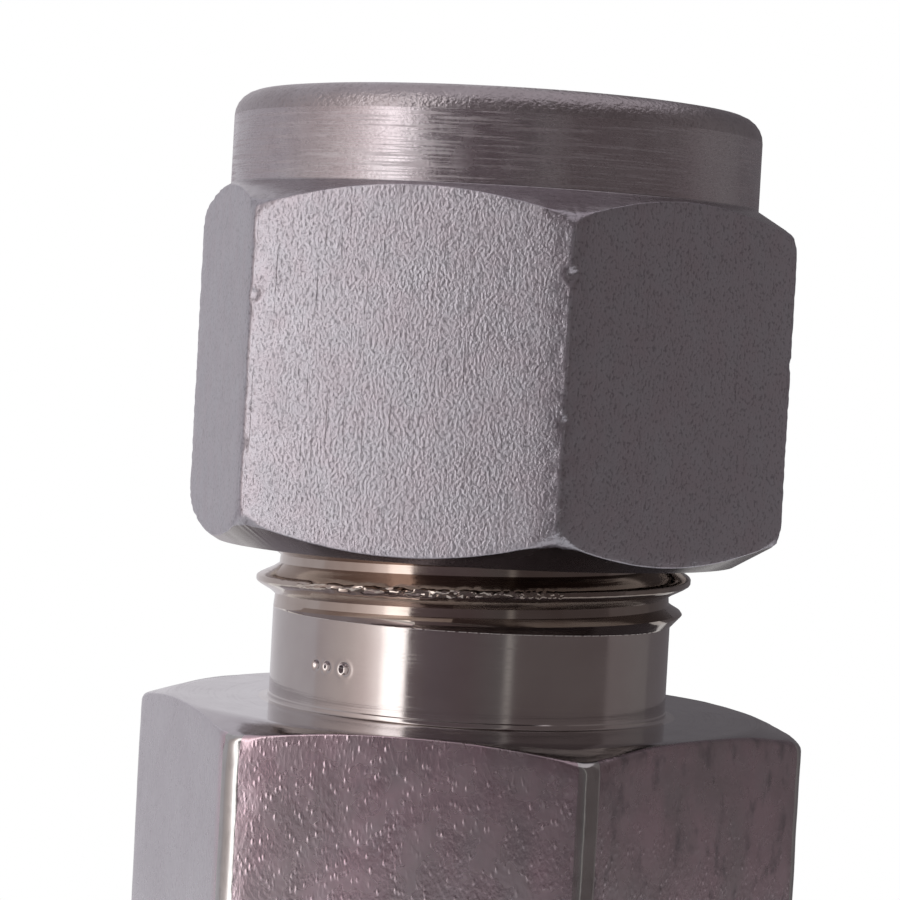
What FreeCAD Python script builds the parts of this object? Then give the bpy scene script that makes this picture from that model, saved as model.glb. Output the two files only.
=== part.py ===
"""Two-ferrule tube fitting: a female pipe connector for 3/8 in tube, nut finger-tight.

The origin is the centre of the pipe port's face, and +Z runs up the tube's axis.
"""
import FreeCAD, Part
import math
import os

import Sketcher

os.makedirs("parts", exist_ok=True)
doc = FreeCAD.newDocument("TubeConnector")

# Driving sizes: lengths in millimetres and angles in degrees. Radii are to the tube's axis.
DRIVING_SIZES = [
    ("tube_radius", 4.7625, "outside of the 3/8 in tube that the fitting takes"),
    ("socket_clearance", 0.065, "tube socket in the body, over the tube"),
    ("ferrule_clearance", 0.04, "bore of both ferrules, over the tube"),
    ("nut_clearance", 0.1, "bore of the nut, over the tube"),
    ("body_step", 0.855, "body hexagon's flats, outside the nut's flats"),
    ("body_hex_length", 19.6, "body hexagon from the port face to the shoulder"),
    ("body_corner", 0.45, "rounding down the corners of the body's hexagon"),
    ("shoulder_inset", 0.03, "shoulder face's edge, in from the flats"),
    ("shoulder_angle", 17.0, "shoulder chamfer, below level"),
    ("port_face_inset", 0.55, "port face's edge, in from the flats"),
    ("port_face_angle", 30.0, "port end chamfer, above level"),
    ("neck_wall", 1.61, "wall of the neck round the tube socket"),
    ("neck_length", 2.89, "plain neck, from the shoulder to the thread's run-out"),
    ("neck_foot", 0.17, "45 degree corner left at the foot of the neck"),
    ("runout_length", 0.76, "cone from the neck up to full thread"),
    ("thread_height", 0.61, "male thread's crest, above the neck"),
    ("thread_lead_in", 0.7, "45 degree chamfer at the end of the male thread"),
    ("end_height", 12.77, "threaded end's face, above the shoulder"),
    ("socket_floor", 2.62, "stop that the tube bottoms on, above the shoulder"),
    ("mouth_angle", 12.0, "half angle of the ferrule seat in the body's mouth"),
    ("mouth_depth", 4.33, "depth of the ferrule seat"),
    ("flow_radius", 3.56, "passage between the tube socket and the port"),
    ("port_radius", 5.556, "tap drill of the 1/4 in pipe thread, 7/16 in"),
    ("port_depth", 15.5, "drilled depth of the port at full diameter"),
    ("port_countersink", 1.3, "45 degree countersink at the port's mouth"),
    ("drill_point_angle", 59.0, "half angle of the drill point"),
    ("seat_gap", 0.06, "running gap at each ferrule seat"),
    ("front_nose", 3.0, "front ferrule's nose, into the mouth"),
    ("front_shoulder", 0.3, "front ferrule's collar, above the body's end"),
    ("front_overlap", 0.3, "front ferrule's collar, outside the mouth"),
    ("front_rear", 1.6, "front ferrule's rear face, above the body's end"),
    ("recess_rise", 0.65, "45 degree recess in the front ferrule's rear"),
    ("back_nose", 0.5, "back ferrule's nose, into the recess"),
    ("back_wall", 0.95, "back ferrule's flange, outside its bore"),
    ("back_rim", 0.75, "back ferrule's flange, height of its rim"),
    ("back_bevel", 0.5, "back ferrule's 45 degree bevel under the nut"),
    ("nut_gap", 5.04, "nut's lower face, above the shoulder, finger-tight"),
    ("thread_clearance", 0.1, "nut's thread bore, over the male thread"),
    ("nut_wall", 1.5525, "nut's wall at its flats, round the thread bore"),
    ("nut_corner", 0.2, "rounding down the corners of the nut's hexagon"),
    ("nut_bore_length", 3.27, "tube bore at the top of the nut"),
    ("nut_entry", 0.35, "45 degree chamfer at the foot of the thread bore"),
    ("nut_mouth_chamfer", 0.25, "45 degree chamfer at the top of the tube bore"),
    ("nut_face_inset", 0.31, "nut's lower face's edge, in from the flats"),
    ("nut_face_angle", 31.0, "chamfer at both ends of the nut's hexagon"),
    ("collar_inset", 0.18, "nut's round collar, in from the flats"),
    ("collar_height", 2.95, "nut's round collar"),
    ("collar_edge", 0.8, "rounding of the collar's top edge"),
    ("nut_turn", -6.1, "turn of the nut's hexagon from the body's, about +Z"),
]

sheet = doc.addObject("Spreadsheet::Sheet", "Sizes")
for row, (alias, value, meaning) in enumerate(DRIVING_SIZES, start=1):
    sheet.set(f"A{row}", meaning)
    sheet.set(f"B{row}", str(value))
    sheet.setAlias(f"B{row}", alias)
doc.recompute()


class Length:
    """A value worked out from the sheet, with the expression that binds it there."""

    def __init__(self, value, text):
        self.value = value
        self.text = text

    def __add__(self, other):
        other = as_length(other)
        return Length(self.value + other.value, f"({self.text} + {other.text})")

    def __sub__(self, other):
        other = as_length(other)
        return Length(self.value - other.value, f"({self.text} - {other.text})")

    def __mul__(self, other):
        other = as_length(other)
        return Length(self.value * other.value, f"({self.text} * {other.text})")

    def __truediv__(self, other):
        other = as_length(other)
        return Length(self.value / other.value, f"({self.text} / {other.text})")


def as_length(number):
    if isinstance(number, Length):
        return number
    return Length(float(number), f"{float(number)}")


def size(alias):
    return Length(float(sheet.get(alias)), f"Sizes.{alias}")


def tangent(angle):
    return Length(math.tan(math.radians(angle.value)), f"tan({angle.text})")


ZERO = as_length(0)
HEX_TURN = 60
HEX_RATIO = Length(1 / math.cos(math.radians(30)), "(1 / cos(30))")
# On a 45 degree seat, a gap square to the seat shows as these along a radius.
SEAT_RISE = as_length(math.sqrt(2))
SEAT_SHIFT = as_length(math.sqrt(2) - 1)
# Cutting rings reach this far past the stock, and picked edges match this closely.
OVERCUT = as_length(1)
MATCH = 1e-4

# Radii and heights that more than one piece uses.
socket_radius = size("tube_radius") + size("socket_clearance")
ferrule_bore = size("tube_radius") + size("ferrule_clearance")
nut_bore = size("tube_radius") + size("nut_clearance")

neck_radius = socket_radius + size("neck_wall")
thread_radius = neck_radius + size("thread_height")
mouth_radius = socket_radius + size("mouth_depth") * tangent(size("mouth_angle"))

shoulder_z = size("body_hex_length")
body_end_z = shoulder_z + size("end_height")
nut_foot_z = shoulder_z + size("nut_gap")
back_ferrule_z = body_end_z + size("front_rear") + size("seat_gap")

nut_thread_radius = thread_radius + size("thread_clearance")
half_nut = nut_thread_radius + size("nut_wall")
half_body = half_nut + size("body_step")


def new_body(name):
    body = doc.addObject("PartDesign::Body", name)
    body.Label = name
    return body


def new_sketch(body, name, role):
    """A sketch on one of the body's own origin planes."""
    sketch = body.newObject("Sketcher::SketchObject", name)
    plane = next(f for f in body.Origin.OriginFeatures if f.Role == role)
    sketch.AttachmentSupport = [(plane, "")]
    sketch.MapMode = "FlatFace"
    return sketch


def hold(sketch, kind, line, distance):
    """Fix a line's start point at a distance from the sketch's origin."""
    if distance.text == ZERO.text:
        axis = -2 if kind == "DistanceX" else -1
        sketch.addConstraint(Sketcher.Constraint("PointOnObject", line, 1, axis))
        return
    index = sketch.addConstraint(
        Sketcher.Constraint(kind, -1, 1, line, 1, distance.value)
    )
    sketch.setExpression(f"Constraints[{index}]", distance.text)


def add_outline(sketch, corners):
    """A closed outline through (radius, height) corners, each bound to the sheet."""
    points = [FreeCAD.Vector(r.value, z.value, 0) for r, z in corners]
    lines = []
    for start, end in zip(points, points[1:] + points[:1]):
        lines.append(sketch.addGeometry(Part.LineSegment(start, end), False))
    for line, following in zip(lines, lines[1:] + lines[:1]):
        sketch.addConstraint(Sketcher.Constraint("Coincident", line, 2, following, 1))
    for line, (radius, height) in zip(lines, corners):
        hold(sketch, "DistanceX", line, radius)
        hold(sketch, "DistanceY", line, height)


def add_hexagon(sketch, half_flats):
    """A hexagon with one flat facing -Y, held by the distance across its flats."""
    corner = half_flats.value * HEX_RATIO.value
    points = [
        FreeCAD.Vector(
            corner * math.cos(math.radians(HEX_TURN * k)),
            corner * math.sin(math.radians(HEX_TURN * k)),
            0,
        )
        for k in range(6)
    ]
    lines = []
    for start, end in zip(points, points[1:] + points[:1]):
        lines.append(sketch.addGeometry(Part.LineSegment(start, end), False))
    rim = sketch.addGeometry(
        Part.Circle(FreeCAD.Vector(), FreeCAD.Vector(0, 0, 1), corner), True
    )
    for line, following in zip(lines, lines[1:] + lines[:1]):
        sketch.addConstraint(Sketcher.Constraint("Coincident", line, 2, following, 1))
        sketch.addConstraint(Sketcher.Constraint("PointOnObject", line, 1, rim))
    for line in lines[1:]:
        sketch.addConstraint(Sketcher.Constraint("Equal", lines[0], line))
    sketch.addConstraint(Sketcher.Constraint("Coincident", rim, 3, -1, 1))
    sketch.addConstraint(Sketcher.Constraint("PointOnObject", lines[0], 1, -1))
    index = sketch.addConstraint(Sketcher.Constraint("Radius", rim, corner))
    sketch.setExpression(f"Constraints[{index}]", (half_flats * HEX_RATIO).text)


def hex_bar(body, name, half_flats, length):
    sketch = new_sketch(body, f"{name}_sketch", "XY_Plane")
    add_hexagon(sketch, half_flats)
    pad = body.newObject("PartDesign::Pad", name)
    pad.Profile = sketch
    pad.Length = length.value
    pad.setExpression("Length", length.text)
    doc.recompute()
    return pad


def turned(body, name, corners):
    """Material added by turning an outline round the tube's axis."""
    sketch = new_sketch(body, f"{name}_sketch", "XZ_Plane")
    add_outline(sketch, corners)
    feature = body.newObject("PartDesign::Revolution", name)
    feature.Profile = sketch
    feature.ReferenceAxis = (sketch, ["V_Axis"])
    feature.Angle = 360
    doc.recompute()
    return feature


def bored(body, name, *outlines):
    """Material cut away by turning outlines round the tube's axis."""
    before = body.Shape.Volume
    sketch = new_sketch(body, f"{name}_sketch", "XZ_Plane")
    for corners in outlines:
        add_outline(sketch, corners)
    feature = body.newObject("PartDesign::Groove", name)
    feature.Profile = sketch
    feature.ReferenceAxis = (sketch, ["V_Axis"])
    feature.Angle = 360
    doc.recompute()
    if not body.Shape.Volume < before:
        raise RuntimeError(f"{name} cut nothing")
    return feature


def is_upright(edge):
    """True for the straight edges down a hexagon's corners."""
    return isinstance(edge.Curve, Part.Line) and abs(edge.tangentAt(0).z) > 1 - MATCH


def is_rim(radius, height):
    """Picks the round edge at a radius and height in the body's own frame."""

    def test(edge):
        if not isinstance(edge.Curve, Part.Circle):
            return False
        near_radius = abs(edge.Curve.Radius - radius.value) < MATCH
        return near_radius and abs(edge.Curve.Center.z - height.value) < MATCH

    return test


def rounded(body, name, radius, test):
    """A fillet along each edge of the body that the test picks."""
    base = body.Tip
    names = [f"Edge{n}" for n, e in enumerate(base.Shape.Edges, start=1) if test(e)]
    fillet = body.newObject("PartDesign::Fillet", name)
    fillet.Base = (base, names)
    fillet.Radius = radius.value
    fillet.setExpression("Radius", radius.text)
    doc.recompute()
    return fillet


def raise_to(body, height):
    body.setExpression("Placement.Base.z", height.text)
    doc.recompute()


def end_chamfer(half_flats, inset, angle, face_z, inward):
    """The ring outside a cone that trims a hexagon's corners at one end."""
    face_radius = half_flats - inset
    outside = half_flats * HEX_RATIO + OVERCUT
    drop = (outside - face_radius) * tangent(angle)
    far_z = face_z - drop if inward == "down" else face_z + drop
    return [(face_radius, face_z), (outside, face_z), (outside, far_z)]


def build_connector_body():
    body = new_body("connector_body")
    hex_bar(body, "body_hexagon", half_body, shoulder_z)
    rounded(body, "body_corners", size("body_corner"), is_upright)
    bored(
        body,
        "hexagon_ends",
        end_chamfer(
            half_body, size("shoulder_inset"), size("shoulder_angle"), shoulder_z, "down"
        ),
        end_chamfer(
            half_body, size("port_face_inset"), size("port_face_angle"), ZERO, "up"
        ),
    )

    runout_z = shoulder_z + size("neck_length")
    full_thread_z = runout_z + size("runout_length")
    turned(
        body,
        "threaded_end",
        [
            (size("flow_radius"), shoulder_z),
            (neck_radius + size("neck_foot"), shoulder_z),
            (neck_radius, shoulder_z + size("neck_foot")),
            (neck_radius, runout_z),
            (thread_radius, full_thread_z),
            (thread_radius, body_end_z - size("thread_lead_in")),
            (thread_radius - size("thread_lead_in"), body_end_z),
            (size("flow_radius"), body_end_z),
        ],
    )

    tip_rise = (size("port_radius") - size("flow_radius")) / tangent(
        size("drill_point_angle")
    )
    floor_z = shoulder_z + size("socket_floor")
    bored(
        body,
        "passage",
        [
            (ZERO, ZERO),
            (size("port_radius") + size("port_countersink"), ZERO),
            (size("port_radius"), size("port_countersink")),
            (size("port_radius"), size("port_depth")),
            (size("flow_radius"), size("port_depth") + tip_rise),
            (size("flow_radius"), floor_z),
            (socket_radius, floor_z),
            (socket_radius, body_end_z - size("mouth_depth")),
            (mouth_radius, body_end_z),
            (ZERO, body_end_z),
        ],
    )
    return body


def build_front_ferrule():
    """Its own frame lies on the face of the body's threaded end."""
    body = new_body("front_ferrule")
    slope = tangent(size("mouth_angle"))
    cone_at_end = mouth_radius - size("seat_gap")
    nose_radius = cone_at_end - size("front_nose") * slope
    shoulder_radius = cone_at_end + size("front_shoulder") * slope
    collar_radius = mouth_radius + size("front_overlap")
    collar_z = size("front_shoulder") + collar_radius - shoulder_radius
    turned(
        body,
        "front_section",
        [
            (ferrule_bore, ZERO - size("front_nose")),
            (nose_radius, ZERO - size("front_nose")),
            (shoulder_radius, size("front_shoulder")),
            (collar_radius, collar_z),
            (collar_radius, size("front_rear")),
            (ferrule_bore + size("recess_rise"), size("front_rear")),
            (ferrule_bore, size("front_rear") - size("recess_rise")),
        ],
    )
    raise_to(body, body_end_z)
    return body


def build_back_ferrule():
    """Its own frame lies on the front of its flange, behind the front ferrule."""
    body = new_body("back_ferrule")
    seat_slack = size("seat_gap") * SEAT_SHIFT
    nose_root = ferrule_bore + size("recess_rise") - seat_slack
    flange_radius = ferrule_bore + size("back_wall")
    turned(
        body,
        "back_section",
        [
            (ferrule_bore, ZERO - size("back_nose")),
            (nose_root - size("back_nose"), ZERO - size("back_nose")),
            (nose_root, ZERO),
            (flange_radius, ZERO),
            (flange_radius, size("back_rim")),
            (flange_radius - size("back_bevel"), size("back_rim") + size("back_bevel")),
            (ferrule_bore, size("back_rim") + size("back_bevel")),
        ],
    )
    raise_to(body, back_ferrule_z)
    return body


def build_tube_nut():
    """Its own frame lies on the nut's lower face."""
    body = new_body("tube_nut")
    # The drive cone runs at 45 degrees, so radius plus height is the same all along it.
    ferrule_line = (
        ferrule_bore + size("back_wall") + back_ferrule_z + size("back_rim") - nut_foot_z
    )
    drive_line = ferrule_line + size("seat_gap") * SEAT_RISE
    drive_foot_z = drive_line - nut_thread_radius
    drive_top_z = drive_line - nut_bore
    nut_length = drive_top_z + size("nut_bore_length")
    collar_z = nut_length - size("collar_height")
    collar_radius = half_nut - size("collar_inset")

    hex_bar(body, "nut_hexagon", half_nut, collar_z)
    rounded(body, "nut_corners", size("nut_corner"), is_upright)
    bored(
        body,
        "nut_hexagon_ends",
        end_chamfer(
            half_nut, size("collar_inset"), size("nut_face_angle"), collar_z, "down"
        ),
        end_chamfer(
            half_nut, size("nut_face_inset"), size("nut_face_angle"), ZERO, "up"
        ),
    )
    turned(
        body,
        "collar",
        [
            (nut_bore, collar_z),
            (collar_radius, collar_z),
            (collar_radius, nut_length),
            (nut_bore, nut_length),
        ],
    )
    rounded(
        body, "collar_rounding", size("collar_edge"), is_rim(collar_radius, nut_length)
    )
    bored(
        body,
        "nut_passage",
        [
            (ZERO, ZERO),
            (nut_thread_radius + size("nut_entry"), ZERO),
            (nut_thread_radius, size("nut_entry")),
            (nut_thread_radius, drive_foot_z),
            (nut_bore, drive_top_z),
            (nut_bore, nut_length - size("nut_mouth_chamfer")),
            (nut_bore + size("nut_mouth_chamfer"), nut_length),
            (ZERO, nut_length),
        ],
    )
    raise_to(body, nut_foot_z)
    body.setExpression("Placement.Rotation.Angle", size("nut_turn").text)
    return body


pieces = [
    build_connector_body(),
    build_front_ferrule(),
    build_back_ferrule(),
    build_tube_nut(),
]
doc.recompute()

for feature in doc.Objects:
    if "Invalid" in feature.State or "Error" in feature.State:
        raise RuntimeError(f"{feature.Label} did not build: {feature.State}")

for piece in pieces:
    shape = piece.Shape
    if shape.isNull() or not shape.isValid():
        raise RuntimeError(f"{piece.Label} has no sound shape")
    shape.exportStep(os.path.join("parts", f"{piece.Label}.step"))
    box = shape.BoundBox
    print(
        f"{piece.Label}: {len(shape.Solids)} solid, {shape.Volume:.1f} mm3,"
        f" z {box.ZMin:.2f} to {box.ZMax:.2f}, {box.XLength:.2f} by {box.YLength:.2f}"
    )
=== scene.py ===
import math

import bmesh
import bpy
import numpy as np
from mathutils import Matrix, Vector, noise


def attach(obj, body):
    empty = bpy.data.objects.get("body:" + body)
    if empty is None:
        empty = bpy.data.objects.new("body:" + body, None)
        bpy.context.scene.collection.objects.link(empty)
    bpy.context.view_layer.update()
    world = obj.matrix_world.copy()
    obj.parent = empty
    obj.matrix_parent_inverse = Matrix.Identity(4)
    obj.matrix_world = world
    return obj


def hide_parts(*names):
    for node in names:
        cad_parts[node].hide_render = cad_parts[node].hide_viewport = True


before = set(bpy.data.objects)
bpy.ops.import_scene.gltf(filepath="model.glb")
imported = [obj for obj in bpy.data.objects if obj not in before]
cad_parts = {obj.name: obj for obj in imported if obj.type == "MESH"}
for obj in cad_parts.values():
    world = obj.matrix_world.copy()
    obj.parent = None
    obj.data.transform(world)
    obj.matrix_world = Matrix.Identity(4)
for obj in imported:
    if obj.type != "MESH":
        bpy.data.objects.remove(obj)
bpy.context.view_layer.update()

# Sizes below are in millimetres and degrees, heights run up the tube's axis from the port face.
mm = 0.001
fullTurn = 2 * math.pi
shoulder = 19.6
cameraSide = 9.917  # the camera stands this far round from -Y towards +X


def slopeOf(degrees):
    return math.tan(math.radians(degrees))


def fromCamera(angle):  # an angle round from the camera, to the angle from +X
    return -90 + cameraSide + angle


def placeAt(radius, angle, height):  # the angle is from +X
    turn = math.radians(angle)
    return np.array([radius * math.cos(turn), radius * math.sin(turn), height])


def placeFromCamera(radius, angle, height):
    return placeAt(radius, fromCamera(angle), height)


# A fillet's points at a corner. It takes less than half of either run beside it.
def filletArc(before, corner, after, radius, steps):
    mostOfRun = 0.48
    back, ahead = before - corner, after - corner
    backRun, aheadRun = np.linalg.norm(back), np.linalg.norm(ahead)
    back, ahead = back / backRun, ahead / aheadRun
    half = math.acos(np.clip(back @ ahead, -1, 1)) / 2
    reach = min(radius / math.tan(half), mostOfRun * backRun, mostOfRun * aheadRun)
    middle = (back + ahead) / np.linalg.norm(back + ahead)
    centre = corner + middle * reach / math.cos(half)
    spoke = corner + back * reach - centre
    side = 1 if spoke[1] * back[0] > spoke[0] * back[1] else -1
    arc = []
    for k in range(steps + 1):
        turn = side * (math.pi - 2 * half) * k / steps
        arc.append(centre + [spoke[0] * math.cos(turn) - spoke[1] * math.sin(turn),
                             spoke[0] * math.sin(turn) + spoke[1] * math.cos(turn)])
    return arc


# Corners are (radius, height, fillet, pieces of the run to the next corner). Gives the outline's
# points with a label for each: its corner's number, and a half more on the run after it.
def filleted(corners, steps=4):
    points = [np.array(corner[:2], float) for corner in corners]
    arcs = [[point] for point in points]
    for i in range(1, len(corners) - 1):
        if corners[i][2] > 0:
            arcs[i] = filletArc(points[i - 1], points[i], points[i + 1], corners[i][2], steps)
    rows, labels = [], []
    for i, arc in enumerate(arcs):
        rows.extend(arc)
        labels.extend([i] * len(arc))
        if i + 1 < len(arcs):
            start, end, pieces = arc[-1], arcs[i + 1][0], corners[i][3]
            rows.extend(start + (end - start) * k / pieces for k in range(1, pieces))
            labels.extend([i + 0.5] * (pieces - 1))
    return np.array(rows), np.array(labels)


# Whole numbers stay on a corner's rounding, and what lies between belongs to the run after it.
def bandLabels(labels):
    return (labels[:-1] + labels[1:]) / 2


# An outline for each column, whose corners depend on its angle, radius and nearness to a corner.
def profilesOf(columns, cornersAt, steps):
    made = [filleted(cornersAt(*column[:3]), steps) for column in columns]
    return np.array([rows for rows, _ in made]), made[0][1]


# Columns round a hexagon with rounded corners, one flat facing -Y before the turn: angle, radius,
# nearness to a corner, and whether it is on the corner's rounding. They lie closer near the
# corners, where the flats droop a little from wear.
def hexagonColumns(shape):
    crowding = 1.42  # pi / 2 at most
    nearWidth = 0.5
    half, corner = shape["half"], shape["corner"]
    slant = math.cos(math.radians(30))
    reach, centre = (half - corner) * slopeOf(30), (half - corner) / slant
    columns = []
    for side in range(6):
        facing = -90 + shape["turn"] + 60 * side
        for k in range(shape["flatPieces"]):
            share = 2 * k / shape["flatPieces"] - 1
            across = reach * math.sin(share * crowding) / math.sin(crowding)
            fromCorner = reach - abs(across)
            face = half - shape["droop"] * max(0.0, 1 - fromCorner / shape["droopWidth"]) ** 2
            columns.append((facing + math.degrees(math.atan2(across, face)), math.hypot(face, across),
                            min(1.0, math.exp(-(fromCorner / nearWidth) ** 2)), 0))
        for k in range(shape["cornerPieces"]):
            turn = math.radians(60 * k / shape["cornerPieces"] - 30)
            along = centre + corner * math.cos(turn) - shape["droop"] / slant
            across = corner * math.sin(turn)
            columns.append((facing + 30 + math.degrees(math.atan2(across, along)),
                            math.hypot(along, across), 1.0, 1))
    return np.array(sorted((column[0] % 360,) + column[1:] for column in columns))


# Angles of points round the axis, where those a rounding error short of a full turn are 0.
def anglesOf(points):
    angles = np.degrees(np.arctan2(points[:, 1], points[:, 0])) % 360
    angles[angles > 359.999] = 0
    return angles


# One mesh under construction, as rings of points that are joined into a closed skin.
class Skin:
    def __init__(self):
        self.points = np.zeros((0, 3))
        self.faces = []
        self.slots = []

    # Profiles are rows of (radius, height), one for all columns or one for each.
    def rings(self, angles, profiles, slot):
        angles = np.radians(angles)
        if profiles.ndim == 2:
            profiles = np.repeat(profiles[None], len(angles), axis=0)
        radii, heights = profiles[..., 0].T, profiles[..., 1].T
        grid = np.stack([radii * np.cos(angles), radii * np.sin(angles), heights], axis=-1)
        index = np.arange(grid[..., 0].size).reshape(grid.shape[:2]) + len(self.points)
        self.points = np.vstack([self.points, grid.reshape(-1, 3)])
        ahead = np.roll(index, -1, axis=1)
        quads = np.stack([index[:-1], ahead[:-1], ahead[1:], index[1:]], axis=-1).reshape(-1, 4)
        self.faces.extend(quads.tolist())
        self.slots.extend((np.zeros((len(index) - 1, index.shape[1]), int) + slot).ravel().tolist())
        return index

    # The same rows all round, on evenly spaced columns.
    def tube(self, count, rows, slot):
        return self.rings(np.arange(count) * 360.0 / count, np.array(rows), slot)

    # Joins two rings of different counts, both starting near angle 0 and running the same way.
    def bridge(self, first, second, slot):
        def nextAngles(ring):
            angles = anglesOf(self.points[ring])
            return np.append(angles[1:], [angles[0] + 360, math.inf])

        firstNext, secondNext = nextAngles(first), nextAngles(second)
        i = j = 0
        while i < len(first) or j < len(second):
            here, there = int(first[i % len(first)]), int(second[j % len(second)])
            if firstNext[i] <= secondNext[j]:
                i += 1
                self.faces.append([here, int(first[i % len(first)]), there])
            else:
                j += 1
                self.faces.append([here, int(second[j % len(second)]), there])
            self.slots.append(slot)

    # Carries a finished thread's lowest and highest rings over, and bridges them to these rings.
    def joinThread(self, mesh, below, above, slot):
        onEdge = 0.0005
        spots = np.array([vertex.co for vertex in mesh.vertices], float) / mm
        for ring, edge in ((below, spots[:, 2].min()), (above, spots[:, 2].max())):
            own = spots[np.abs(spots[:, 2] - edge) < onEdge]
            own = own[np.argsort(anglesOf(own))]
            index = np.arange(len(own)) + len(self.points)
            self.points = np.vstack([self.points, own])
            self.bridge(index, ring, slot)

    # Presses soft dents in towards the axis: (centre, radius, depth). A rim is a share of the depth.
    def dent(self, dents, rim=0.0):
        pitSteepness, rimPlace, rimSteepness = 1.6, 1.05, 4
        away = self.points * [1, 1, 0]
        away /= np.maximum(np.linalg.norm(away, axis=1), 1e-9)[:, None]
        for centre, radius, depth in dents:
            reach = np.linalg.norm(self.points - centre, axis=1) / radius
            pit = np.exp(-(reach * pitSteepness) ** 4) * depth
            lip = np.exp(-((reach - rimPlace) * rimSteepness) ** 2) * (depth * rim)
            self.points -= away * (pit - lip)[:, None]

    # Wears rings unevenly: points move in by their weight, where smooth noise lies low.
    def roughen(self, index, weights, size, amount, seed):
        leastWeight, unworn = 0.02, 0.3
        shift = Vector((seed * 7.1, seed * 3.3, seed * 5.7))
        for row, weightRow in zip(index, weights):
            for spot, weight in zip(row, weightRow):
                if weight > leastWeight:
                    value = min(0.0, noise.noise(Vector(self.points[spot] / size) + shift) - unworn)
                    pull = self.points[spot] * [1, 1, 0]
                    pull /= max(np.linalg.norm(pull), 1e-9)
                    self.points[spot] += pull * value * weight * amount

    # Wears a hexagon's end edges, which are its profile's corners 2 and 3, and then the edges
    # between its flats. The shape's wears are (size, amount, seed).
    def wearHexagon(self, index, labels, columns, shape):
        ends = ((labels == 2) | (labels == 3))[:, None] * np.ones(len(columns))
        sides = ((labels >= 2) & (labels <= 3))[:, None] * columns[:, 2]
        self.roughen(index, ends, *shape["endWear"])
        self.roughen(index, sides, *shape["sideWear"])


def meshFrom(skin, name, materials):
    mesh = bpy.data.meshes.new(name)
    mesh.from_pydata((skin.points * mm).tolist(), [], skin.faces)
    mesh.polygons.foreach_set("material_index", skin.slots)
    for material in materials:
        mesh.materials.append(material)
    mesh.update()
    return mesh


def show(data, name):
    shown = bpy.data.objects.new(name, data)
    bpy.context.scene.collection.objects.link(shown)
    return shown


# A plain mesh of what an object's modifiers make. The object goes.
def applied(shown):
    graph = bpy.context.evaluated_depsgraph_get()
    mesh = bpy.data.meshes.new_from_object(shown.evaluated_get(graph))
    bpy.data.objects.remove(shown)
    return mesh


# Joins meshes into one closed piece with crisp, evenly shaded edges.
def weld(name, meshes):
    mergeWithin, leastEdge, sharpAngle, evenness = 0.0012, 0.0004, 38, 60
    joined = bmesh.new()
    for mesh in meshes:
        joined.from_mesh(mesh)
    bmesh.ops.remove_doubles(joined, verts=joined.verts, dist=mergeWithin * mm)
    bmesh.ops.dissolve_degenerate(joined, edges=joined.edges, dist=leastEdge * mm)
    bmesh.ops.recalc_face_normals(joined, faces=joined.faces)
    openEdges = sum(1 for edge in joined.edges if not edge.is_manifold)
    merged = bpy.data.meshes.new(name)
    joined.to_mesh(merged)
    joined.free()
    for material in meshes[0].materials:
        merged.materials.append(material)
    merged.shade_smooth()
    merged.set_sharp_from_angle(angle=math.radians(sharpAngle))
    rough = show(merged, name + "Rough")
    weighted = rough.modifiers.new("EvenShading", "WEIGHTED_NORMAL")
    weighted.keep_sharp = True
    weighted.weight = evenness
    final = applied(rough)
    final.name = name
    triangles = sum(len(face.vertices) - 2 for face in final.polygons)
    print(f"{name}: {triangles} triangles, {openEdges} open edges")
    return show(final, name)


# A number in a node tree, so that the tree's sums read as plain arithmetic.
class Number:
    def __init__(self, tree, socket):
        self.tree, self.socket = tree, socket

    def __add__(self, other):
        return calc("ADD", self, other)

    def __sub__(self, other):
        return calc("SUBTRACT", self, other)

    def __mul__(self, other):
        return calc("MULTIPLY", self, other)

    def __truediv__(self, other):
        return calc("DIVIDE", self, other)


# Adds a node, links the inputs that are sockets or numbers and sets the others.
def addNode(tree, kind, inputs=None, **settings):
    made = tree.nodes.new(kind)
    for key, value in settings.items():
        setattr(made, key, value)
    for key, value in (inputs or {}).items():
        if isinstance(value, Number):
            tree.links.new(value.socket, made.inputs[key])
        elif isinstance(value, bpy.types.NodeSocket):
            tree.links.new(value, made.inputs[key])
        else:
            made.inputs[key].default_value = value
    return made


def calc(operation, *values, clamp=False):
    tree = next(value.tree for value in values if isinstance(value, Number))
    made = addNode(tree, "ShaderNodeMath", dict(enumerate(values)), operation=operation,
                   use_clamp=clamp)
    return Number(tree, made.outputs[0])


def ramp(value, low, high, toLow=0.0, toHigh=1.0, smooth=False):
    made = addNode(value.tree, "ShaderNodeMapRange",
                   {"Value": value, "From Min": low, "From Max": high,
                    "To Min": toLow, "To Max": toHigh},
                   interpolation_type="SMOOTHSTEP" if smooth else "LINEAR")
    return Number(value.tree, made.outputs["Result"])


def combine(tree, x, y, z):
    return addNode(tree, "ShaderNodeCombineXYZ", {"X": x, "Y": y, "Z": z}).outputs[0]


# Threads: a sheet of helical rows wrapped round the axis, cut off by a cone at each end. Widths
# on the section are shares of the pitch, counted from the middle of a crest.
threadInputs = {
    "Turn Steps": 240, "Rows": 160, "Pitches": 10.0, "Pitch": 1.27, "First Crest": 0.0,
    "Crest Radius": 7.0, "Root Radius": 6.5, "Least Radius": 0.0, "Taper": 0.0,
    "Crest Half Width": 0.0625, "Flank Width": 0.25, "Root Softness": 0.5,
    "Root Rise": 0.0, "Rise Reach": 1.0,
    "Start Height": 0.0, "Start Radius": 6.4, "Start Slope": 1.0, "Start Opens": False,
    "End Height": 10.0, "End Radius": 6.4, "End Slope": -1.0, "End Opens": False,
    "Burr Height": 0.0, "Burr Grain": 0.15, "Seed": 7.0,
    "Facing": 0.0, "Crowding": 0.0, "Crest Crowding": 0.0,
}


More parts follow.
